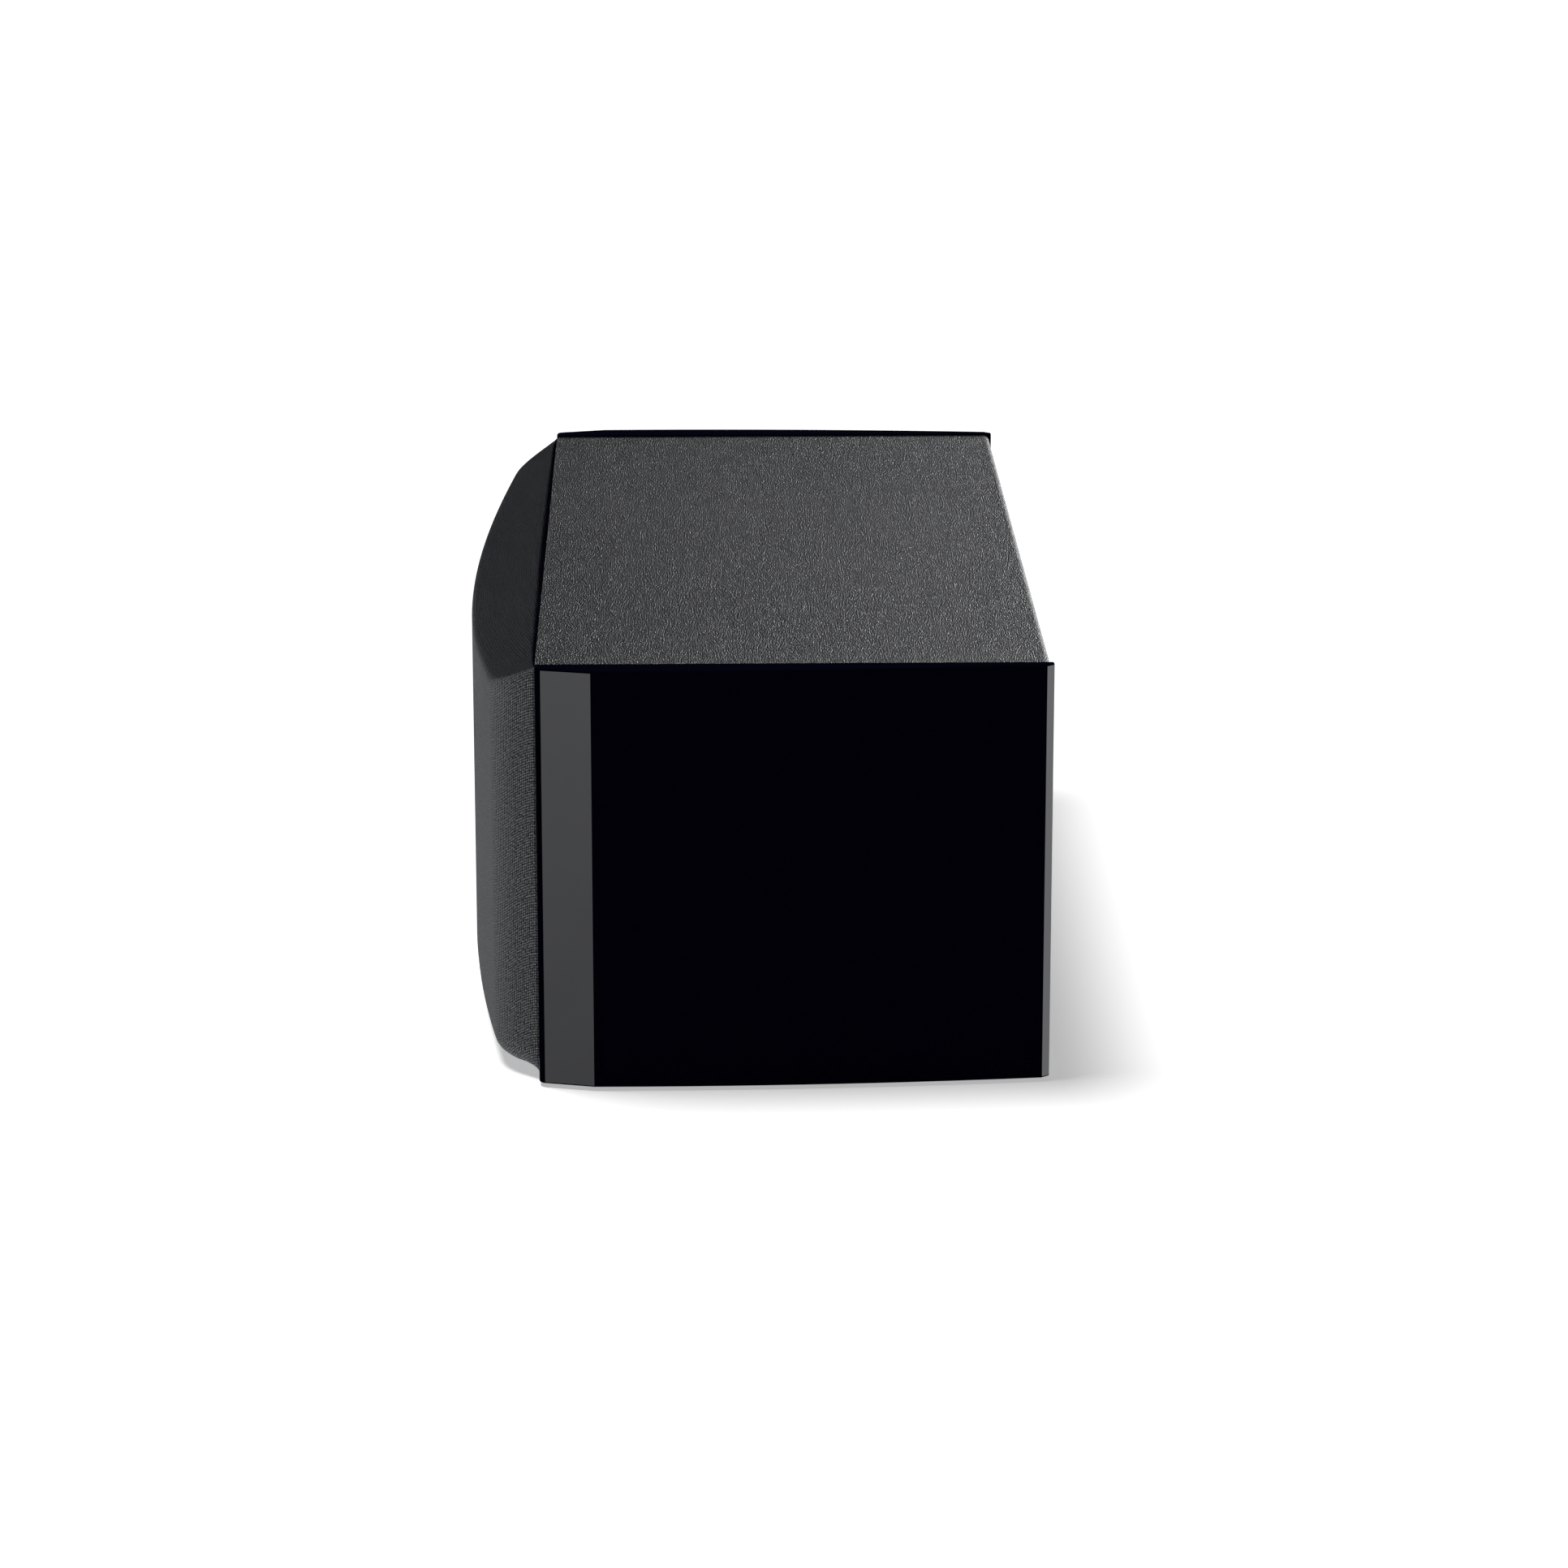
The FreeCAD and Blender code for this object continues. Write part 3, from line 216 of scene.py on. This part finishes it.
def moulded_plastic(name, base, gloss=0.42):
    """Spark-eroded moulded plastic, its sharp edges painted lighter as a painted highlight."""
    made = Shader(name, base=base, roughness=gloss)
    pits = made.noise(2600.0, 2.0)
    painted_edge_highlight = made.edge_sheen_mask(0.0005)
    highlight_tone = tuple(min(1.0, part * 1.7 + 0.012) for part in base)
    # Painted highlight: the colour is lightened near sharp edges, where a sheen would catch the light.
    made.set(made.surface, "Base Color", made.mix(made.maths("MULTIPLY", painted_edge_highlight, 0.5), base, highlight_tone))
    uneven = made.between(made.noise(60.0, 3.0), 0.3, 0.7, gloss - 0.06, gloss + 0.08)
    made.set(made.surface, "Roughness", uneven)
    made.set(made.surface, "Normal", made.bump(pits, 0.00006, 0.45))
    return made.material


def rubber():
    """Matt rubber with a dusty bloom."""
    base = (0.018, 0.018, 0.019)
    made = Shader("rubber", base=base, roughness=0.72, Specular_IOR_Level=0.35)
    bloom = made.between(made.noise(140.0, 5.0), 0.45, 0.75, 0.0, 0.4)
    dusty = tuple(part + 0.03 for part in base)
    made.set(made.surface, "Base Color", made.mix(bloom, base, dusty))
    made.set(made.surface, "Normal", made.bump(made.noise(900.0, 3.0), 0.00005, 0.4))
    return made.material


def fibreboard():
    """Raw medium-density fibreboard: pressed tan fibres."""
    made = Shader("fibreboard", roughness=0.85)
    strands = made.noise(520.0, 6.0, at=made.place((1, 0.35, 1)))
    made.set(made.surface, "Base Color", made.mix(strands, (0.30, 0.20, 0.115), (0.52, 0.39, 0.25)))
    made.set(made.surface, "Normal", made.bump(strands, 0.0002, 0.5))
    return made.material


def metal(name, base, gloss, grain=(1, 40, 1)):
    """Worked metal: fine tool marks along one axis and slightly uneven polish."""
    made = Shader(name, base=base, roughness=gloss, Metallic=1.0)
    marks = made.noise(300.0, 3.0, at=made.place(grain))
    made.set(made.surface, "Roughness", made.between(marks, 0.3, 0.7, gloss - 0.07, gloss + 0.1))
    made.set(made.surface, "Normal", made.bump(marks, 0.00003, 0.25))
    return made.material


def powder_coat():
    """Satin black powder coat on a die casting."""
    made = Shader("cast_basket", base=(0.022, 0.022, 0.024), roughness=0.5)
    made.set(made.surface, "Roughness", made.between(made.noise(90.0, 4.0), 0.3, 0.7, 0.4, 0.58))
    made.set(made.surface, "Normal", made.bump(made.noise(1300.0, 2.0), 0.0001, 0.6))
    return made.material


def ferrite():
    """Dark sintered ferrite with ground faces."""
    made = Shader("ferrite", roughness=0.55)
    speckle = made.noise(1100.0, 4.0)
    made.set(made.surface, "Base Color", made.mix(speckle, (0.035, 0.035, 0.038), (0.085, 0.085, 0.088)))
    made.set(made.surface, "Normal", made.bump(speckle, 0.00012, 0.5))
    return made.material


def wound_copper():
    """Enamelled copper wire wound in close turns."""
    made = Shader("copper_coil", base=(0.72, 0.27, 0.11), roughness=0.3, Metallic=1.0)
    turns = made.add("ShaderNodeTexWave", "Fac", props={"bands_direction": "Z", "wave_profile": "SIN"},
                     Vector=made.place(), Scale=320.0, Distortion=0.4)
    # Painted shade: the grooves between turns are painted darker than the wire's crowns.
    made.set(made.surface, "Base Color", made.mix(turns, (0.30, 0.09, 0.035), (0.80, 0.33, 0.14)))
    made.set(made.surface, "Normal", made.bump(turns, 0.0003, 0.8))
    return made.material


def woven_cone():
    """A woven glass cone, coated black, with a faint diagonal weave."""
    made = Shader("cone", roughness=0.34, Coat_Weight=0.25, Coat_Roughness=0.25)
    turned = made.tree.nodes.new("ShaderNodeMapping")
    made.set(turned, "Vector", made.add("ShaderNodeTexCoord", "Object"))
    turned.inputs["Rotation"].default_value = (0.0, math.radians(45), 0.0)
    split = made.tree.nodes.new("ShaderNodeSeparateXYZ")
    made.set(split, "Vector", turned.outputs[0])
    bundle_pitch = 1.6 * MM
    along, across = (made.maths("SINE", made.maths("MULTIPLY", split.outputs[axis], math.pi / bundle_pitch))
                     for axis in (0, 2))
    height = made.maths("MULTIPLY", along, across)
    lift = made.between(height, -1.0, 1.0, 0.0, 1.0)
    # Painted shade: the weave's low parts are painted darker than its raised bundles.
    made.set(made.surface, "Base Color", made.mix(lift, (0.010, 0.010, 0.012), (0.045, 0.046, 0.050)))
    made.set(made.surface, "Normal", made.bump(height, 0.00016, 0.6))
    return made.material


def plain_weave(name, dark, light, pitch=0.9 * MM, roughness=0.85):
    """Impregnated cloth with a plain weave seen along Y."""
    made = Shader(name, roughness=roughness, Sheen_Weight=0.2)
    split = made.tree.nodes.new("ShaderNodeSeparateXYZ")
    made.set(split, "Vector", made.add("ShaderNodeTexCoord", "Object"))
    along, across = (made.maths("SINE", made.maths("MULTIPLY", split.outputs[axis], math.pi / pitch))
                     for axis in (0, 2))
    height = made.between(made.maths("MULTIPLY", along, across), -1.0, 1.0, 0.0, 1.0)
    # Painted shade: the gaps between threads are painted darker than the thread crowns.
    made.set(made.surface, "Base Color", made.mix(height, dark, light))
    made.set(made.surface, "Normal", made.bump(height, 0.00014, 0.6))
    return made.material


def wadding():
    """Teased white polyester fibre."""
    made = Shader("wadding", roughness=0.95, Sheen_Weight=0.6)
    fluff = made.noise(240.0, 8.0, roughness=0.7)
    made.set(made.surface, "Base Color", made.mix(fluff, (0.55, 0.55, 0.52), (0.86, 0.86, 0.84)))
    made.set(made.surface, "Normal", made.bump(fluff, 0.0016, 0.9))
    return made.material


def circuit_board():
    """Green solder mask with copper tracks showing through."""
    made = Shader("circuit_board", roughness=0.35, Coat_Weight=0.4)
    tracks = made.cells(70.0, "DISTANCE_TO_EDGE")
    mask = made.between(tracks, 0.05, 0.07, 1.0, 0.0)
    made.set(made.surface, "Base Color", made.mix(mask, (0.012, 0.085, 0.035), (0.045, 0.18, 0.07)))
    made.set(made.surface, "Normal", made.bump(mask, 0.00005, 0.6))
    return made.material


def painted_board():
    """Fibreboard sprayed satin black, its fibre just showing through."""
    made = Shader("painted_board", base=(0.012, 0.012, 0.013), roughness=0.55)
    strands = made.noise(420.0, 5.0)
    made.set(made.surface, "Base Color", made.mix(strands, (0.008, 0.008, 0.009), (0.020, 0.020, 0.021)))
    made.set(made.surface, "Roughness", made.between(strands, 0.3, 0.7, 0.46, 0.68))
    made.set(made.surface, "Normal", made.bump(strands, 0.00012, 0.6))
    return made.material


MATERIALS = {
    "vinyl_wrap": vinyl_wrap(),
    "fibreboard": fibreboard(),
    "black_lacquer": black_lacquer(),
    "rubber": rubber(),
    "wadding": wadding(),
    "grille_cloth": grille_cloth(),
    "black_plastic": moulded_plastic("black_plastic", (0.014, 0.014, 0.015)),
    "cast_basket": powder_coat(),
    "plated_steel": metal("plated_steel", (0.62, 0.61, 0.56), 0.32),
    "ferrite": ferrite(),
    "copper_coil": wound_copper(),
    "cone": woven_cone(),
    "spider_cloth": plain_weave("spider_cloth", (0.16, 0.10, 0.02), (0.46, 0.32, 0.09)),
    "dome_fabric": plain_weave("dome_fabric", (0.008, 0.008, 0.009), (0.030, 0.031, 0.034), 0.35 * MM, 0.6),
    "brass": metal("brass", (0.83, 0.60, 0.24), 0.2),
    "black_screw": metal("black_screw", (0.05, 0.05, 0.052), 0.4, (8, 1, 8)),
    "circuit_board": circuit_board(),
    "capacitor_film": moulded_plastic("capacitor_film", (0.55, 0.32, 0.035), 0.3),
    "resistor_ceramic": moulded_plastic("resistor_ceramic", (0.66, 0.64, 0.58), 0.75),
    "lead_insulation": moulded_plastic("lead_insulation", (0.20, 0.012, 0.012), 0.45),
    "red_plastic": moulded_plastic("red_plastic", (0.42, 0.010, 0.012), 0.26),
    "dark_plastic": moulded_plastic("dark_plastic", (0.010, 0.010, 0.011), 0.26),
}

# Pieces whose finish is not that of their material slot.
FINISHES = {"front_baffle": painted_board()}


def dress_frame():
    """Give every CAD node the material of its slot, or its own finish where it is painted."""
    for entry in frame["record"]["subparts"]:
        node = NODES[entry["node"]]
        node.data.materials.clear()
        node.data.materials.append(FINISHES.get(entry["node"], MATERIALS[entry["material_slot"]]))


# ------------------------------------------------------------------ soft pieces

def mesh_object(name, points, faces, slot, uvs=None):
    """A smooth-shaded mesh object with the material of a slot."""
    mesh = bpy.data.meshes.new(name)
    mesh.from_pydata(points, [], faces)
    if uvs:
        layer = mesh.uv_layers.new(name="UVMap")
        for loop in mesh.loops:
            layer.data[loop.index].uv = uvs[loop.vertex_index]
    mesh.materials.append(MATERIALS[slot])
    for polygon in mesh.polygons:
        polygon.use_smooth = True
    made = bpy.data.objects.new(name, mesh)
    bpy.context.scene.collection.objects.link(made)
    return made


def rounded_corner(before, corner, after, radius, steps):
    """Points along a round between two straight runs."""
    to_start, to_end = (before - corner), (after - corner)
    start = corner + to_start.normalized() * min(radius, to_start.length)
    end = corner + to_end.normalized() * min(radius, to_end.length)
    points = []
    for step in range(steps + 1):
        t = step / steps
        points.append(start * (1 - t) ** 2 + corner * 2 * t * (1 - t) + end * t ** 2)
    return points


def sampled(start, end, steps):
    """Evenly spaced points from start to end, the last left out."""
    return [start.lerp(end, step / steps) for step in range(steps)]


def cloth_outline(low, high):
    """The cloth's plan from its left end to its right: a shallow bow between two rounded creases."""
    crease_inset, crease_depth, crease_round = 19.2 * MM, 21.5 * MM, 14.0 * MM
    arc_steps, end_steps, round_steps = 96, 18, 12
    crease_x = high.x - crease_inset
    sagitta = high.y - crease_depth - low.y
    bow = (crease_x ** 2 + sagitta ** 2) / (2 * sagitta)
    half_angle = math.asin(crease_x / bow)
    angles = [half_angle * (2 * step / arc_steps - 1) for step in range(arc_steps + 1)]
    plan = [Vector((bow * math.sin(angle), low.y + bow * (1 - math.cos(angle)), 0)) for angle in angles]
    left_end, right_end = Vector((-high.x, high.y, 0)), Vector((high.x, high.y, 0))
    taken = 3  # steps of the arc that each crease's round takes up
    left_round = rounded_corner(left_end, plan[0], plan[taken], crease_round, round_steps)
    right_round = rounded_corner(plan[-taken - 1], plan[-1], right_end, crease_round, round_steps)
    outline = sampled(left_end, left_round[0], end_steps) + left_round + plan[taken + 1:-taken - 1]
    outline += right_round + sampled(right_round[-1], right_end, end_steps)[1:] + [right_end]
    return outline


def cloth_section(spot, low, high):
    """The cloth's section at one spot of its plan: bottom, upright front and sloping top."""
    top_slope, bottom_slope, top_round, bottom_round = 0.57, 0.02, 2.5 * MM, 11.0 * MM
    rows_flat, rows_wall, rows_round = 10, 40, 6
    ahead = high.y - spot.y
    bottom_back, bottom_front, top_front, top_back = (
        Vector((spot.x, high.y, low.z)), Vector((spot.x, spot.y, low.z + ahead * bottom_slope)),
        Vector((spot.x, spot.y, high.z - ahead * top_slope)), Vector((spot.x, high.y, high.z)))
    lower = rounded_corner(bottom_back, bottom_front, top_front, bottom_round, rows_round)
    upper = rounded_corner(bottom_front, top_front, top_back, top_round, rows_round)
    column = sampled(bottom_back, lower[0], rows_flat) + lower[:-1]
    column += sampled(lower[-1], upper[0], rows_wall) + upper[:-1]
    column += sampled(upper[-1], top_back, rows_flat) + [top_back]
    return column


def stretched_cloth():
    """The grille's cloth, drawn tight over its frame; returns it with its flat width and length."""
    low, high = (Vector(corner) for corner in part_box("grille_cloth"))
    outline = cloth_outline(low, high)
    points, uvs, columns = [], [], []
    run = 0.0
    for index, spot in enumerate(outline):
        run += (spot - outline[index - 1]).length if index else 0.0
        column = cloth_section(spot, low, high)
        depth = 0.0
        columns.append([])
        for row, point in enumerate(column):
            depth += (point - column[row - 1]).length if row else 0.0
            columns[-1].append(len(points))
            points.append(point)
            uvs.append((run, depth))
    faces = [(first[row], second[row], second[row + 1], first[row + 1])
             for first, second in zip(columns, columns[1:]) for row in range(len(first) - 1)]
    cloth = mesh_object("stretched_cloth", points, faces, "grille_cloth", uvs)
    thick = cloth.modifiers.new("thickness", "SOLIDIFY")
    thick.thickness = 0.7 * MM
    thick.offset = -1.0
    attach(cloth, "grille")
    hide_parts("grille_cloth")
    lengths = [sum((points[after] - points[before]).length for before, after in zip(column, column[1:]))
               for column in columns]
    return cloth, run, max(lengths)


def wadding_mat(name, low, high, seed):
    """One soft mat hanging under the top board: pillowed edges, tufted and uneven on its open side."""
    across, along = 44, 40
    trim, thinnest = 0.985, 0.06
    middle = (low + high) / 2
    half = (high - low) / 2
    points, faces = [], []

    def swell(u, v):
        """Thickness share at a place on the mat: full in the middle, thin at the rim, dimpled and lumpy."""
        rim = (1 - abs(u) ** 6) * (1 - abs(v) ** 6)
        spot = Vector((u * 2.1 + seed, v * 2.1, 0.3))
        lumps = (0.10 * noise.noise(spot * 1.3) + 0.05 * noise.noise(spot * 4.1)
                 + 0.025 * noise.noise(spot * 11))
        return max(0.0, rim) ** 0.35 * (0.88 + lumps)

    def wander(u, v, axis):
        """A small sideways shift, so that the cut edges are not dead straight."""
        return 0.012 * noise.noise(Vector((u * 3 + seed, v * 3, axis * 5.0)))

    for column in range(across + 1):
        for row in range(along + 1):
            u, v = column / across * 2 - 1, row / along * 2 - 1
            x = middle.x + half.x * (u * trim + wander(u, v, 1))
            y = middle.y + half.y * (v * trim + wander(u, v, 2))
            points.append(Vector((x, y, high.z - 2 * half.z * max(thinnest, swell(u, v)))))
            points.append(Vector((x, y, high.z)))

    def spot(column, row, side):
        """Index of the point on the open side (0) or the glued side (1)."""
        return (column * (along + 1) + row) * 2 + side

    for column in range(across):
        for row in range(along):
            for side in (0, 1):
                ring = [spot(column, row, side), spot(column + 1, row, side),
                        spot(column + 1, row + 1, side), spot(column, row + 1, side)]
                faces.append(ring if side else ring[::-1])
    for column in range(across):
        for row in (0, along):
            ring = [spot(column, row, 0), spot(column + 1, row, 0),
                    spot(column + 1, row, 1), spot(column, row, 1)]
            faces.append(ring if row == 0 else ring[::-1])
    for row in range(along):
        for column in (0, across):
            ring = [spot(column, row, 0), spot(column, row + 1, 0),
                    spot(column, row + 1, 1), spot(column, row, 1)]
            faces.append(ring[::-1] if column == 0 else ring)
    return mesh_object(name, points, faces, "wadding")


def make_wadding():
    """The two mats of wadding, one to each side."""
    low, high = (Vector(corner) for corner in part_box("damping_mats"))
    width = 130.0 * MM
    mats = [wadding_mat("left_wadding", low, Vector((low.x + width, high.y, high.z)), 3.0),
            wadding_mat("right_wadding", Vector((high.x - width, low.y, low.z)), high, 8.0)]
    for mat in mats:
        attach(mat, "cabinet")
        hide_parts("damping_mats")


make_camera()
dress_frame()
make_wadding()
CLOTH, CLOTH_WIDTH, CLOTH_LENGTH = stretched_cloth()


# ------------------------------------------------------------------ studio

def make_floor(glow):
    """A plain pale floor, evenly bright like a lit cyclorama, that runs out of view."""
    reach = 30.0
    mesh = bpy.data.meshes.new("floor")
    corners = [(-reach, -reach, 0), (reach, -reach, 0), (reach, reach, 0), (-reach, reach, 0)]
    mesh.from_pydata(corners, [], [(0, 1, 2, 3)])
    floor = bpy.data.objects.new("floor", mesh)
    made = Shader("floor_paper", base=(0.80, 0.80, 0.80), roughness=0.95, Specular_IOR_Level=0.1,
                  Emission_Color=(1.0, 1.0, 1.0, 1.0), Emission_Strength=glow)
    mesh.materials.append(made.material)
    bpy.context.scene.collection.objects.link(floor)
    floor.visible_glossy = False
    return floor


def make_light(name, kind, place, target, power):
    """A lamp aimed at a point."""
    data = bpy.data.lights.new(name, kind)
    data.energy = power
    light = bpy.data.objects.new(name, data)
    light.location = place
    aim = Vector(target) - Vector(place)
    light.rotation_mode = "QUATERNION"
    light.rotation_quaternion = aim.to_track_quat("-Z", "Y")
    bpy.context.scene.collection.objects.link(light)
    return light


def make_softbox(name, place, size, power):
    """A rectangular softbox aimed at the speaker, its power in watts per square metre of its face."""
    light = make_light(name, "AREA", place, (0.0, 0.0, 0.1), power * size[0] * size[1])
    light.data.shape = "RECTANGLE"
    light.data.size, light.data.size_y = size
    return light


def lights_only(light, floor, lit):
    """Let a light fall on the floor alone, or on everything but the floor."""
    group = bpy.data.collections.new(f"{light.name}_falls_on")
    group.objects.link(floor)
    group.collection_objects[0].light_linking.link_state = "INCLUDE" if lit == "floor" else "EXCLUDE"
    light.light_linking.receiver_collection = group


def make_card(name, end, heading, bright, dim):
    """A glowing card off one end of the speaker, below the floor, that only polished faces mirror.

    The camera looks down, so it sees the card in the slanting facets of the side panels. The card is
    dimmer towards its foot.
    """
    panel_x, distance, half_wide, low, high = 0.27, 3.0, 0.25, -1.25, -0.4
    fade_start, fade_end = -1.35, -0.3
    outward = Vector((end * math.cos(heading), math.sin(heading), 0))
    sideways = Vector((-outward.y, outward.x, 0)) * half_wide
    middle = Vector((end * panel_x, 0, 0)) + outward * distance
    corners = [middle - sideways, middle + sideways]
    mesh = bpy.data.meshes.new(name)
    spots = [corner + Vector((0, 0, z)) for z in (low, high) for corner in corners]
    mesh.from_pydata(spots, [], [(0, 1, 3, 2)])
    card = bpy.data.objects.new(name, mesh)
    made = Shader(name, base=(0, 0, 0), roughness=1.0, Specular_IOR_Level=0.0,
                  Emission_Color=(0.97, 0.98, 1.0, 1.0))
    split = made.tree.nodes.new("ShaderNodeSeparateXYZ")
    made.set(split, "Vector", made.place())
    glow = made.between(split.outputs[2], fade_start, fade_end, dim, bright)
    made.set(made.surface, "Emission Strength", glow)
    mesh.materials.append(made.material)
    bpy.context.scene.collection.objects.link(card)
    card.visible_camera = card.visible_diffuse = card.visible_shadow = False


def make_world(backdrop, ambient):
    """A white backdrop for the camera; the room itself is nearly dark, so gloss black stays deep."""
    room_tint, backdrop_tint = (0.30, 0.32, 1.0, 1.0), (1.0, 1.0, 1.0, 1.0)
    world = bpy.data.worlds.new("studio")
    world.use_nodes = True
    tree = world.node_tree
    shade = tree.nodes["Background"]
    path = tree.nodes.new("ShaderNodeLightPath")
    strength = tree.nodes.new("ShaderNodeMapRange")
    strength.inputs["To Min"].default_value = ambient
    strength.inputs["To Max"].default_value = backdrop
    tree.links.new(path.outputs["Is Camera Ray"], strength.inputs["Value"])
    tree.links.new(strength.outputs["Result"], shade.inputs["Strength"])
    tint = tree.nodes.new("ShaderNodeMix")
    tint.data_type = "RGBA"
    tint.inputs[6].default_value = room_tint
    tint.inputs[7].default_value = backdrop_tint
    tree.links.new(path.outputs["Is Camera Ray"], tint.inputs[0])
    tree.links.new(tint.outputs[2], shade.inputs["Color"])
    bpy.context.scene.world = world


FRONT_FACET_HEADING = math.radians(-31.4)  # where the camera's view goes on from each slanting facet
REAR_FACET_HEADING = math.radians(81.8)

FLOOR = make_floor(glow=0.45)
make_world(backdrop=1.0, ambient=0.015)

overhead = make_light("overhead", "SUN", (-0.22, -0.55, 2.6), (0, 0, 0), 2.9)
overhead.data.angle = math.radians(20)
lights_only(overhead, FLOOR, "floor")

rim = make_softbox("rim", (-3.0, 2.25, 1.05), (1.5, 0.5), 205.0)
back_fill = make_softbox("back_fill", (0.3, 3.3, 1.6), (2.4, 0.8), 40.0)
back_fill.visible_glossy = False
for light in (rim, back_fill):
    lights_only(light, FLOOR, "pieces")
for end in (-1, 1):
    make_card(f"front_card_{end + 1}", end, FRONT_FACET_HEADING, bright=2.0, dim=0.9)
    make_card(f"rear_card_{end + 1}", end, REAR_FACET_HEADING, bright=3.0, dim=2.2)
bpy.context.scene.view_settings.view_transform = "Standard"
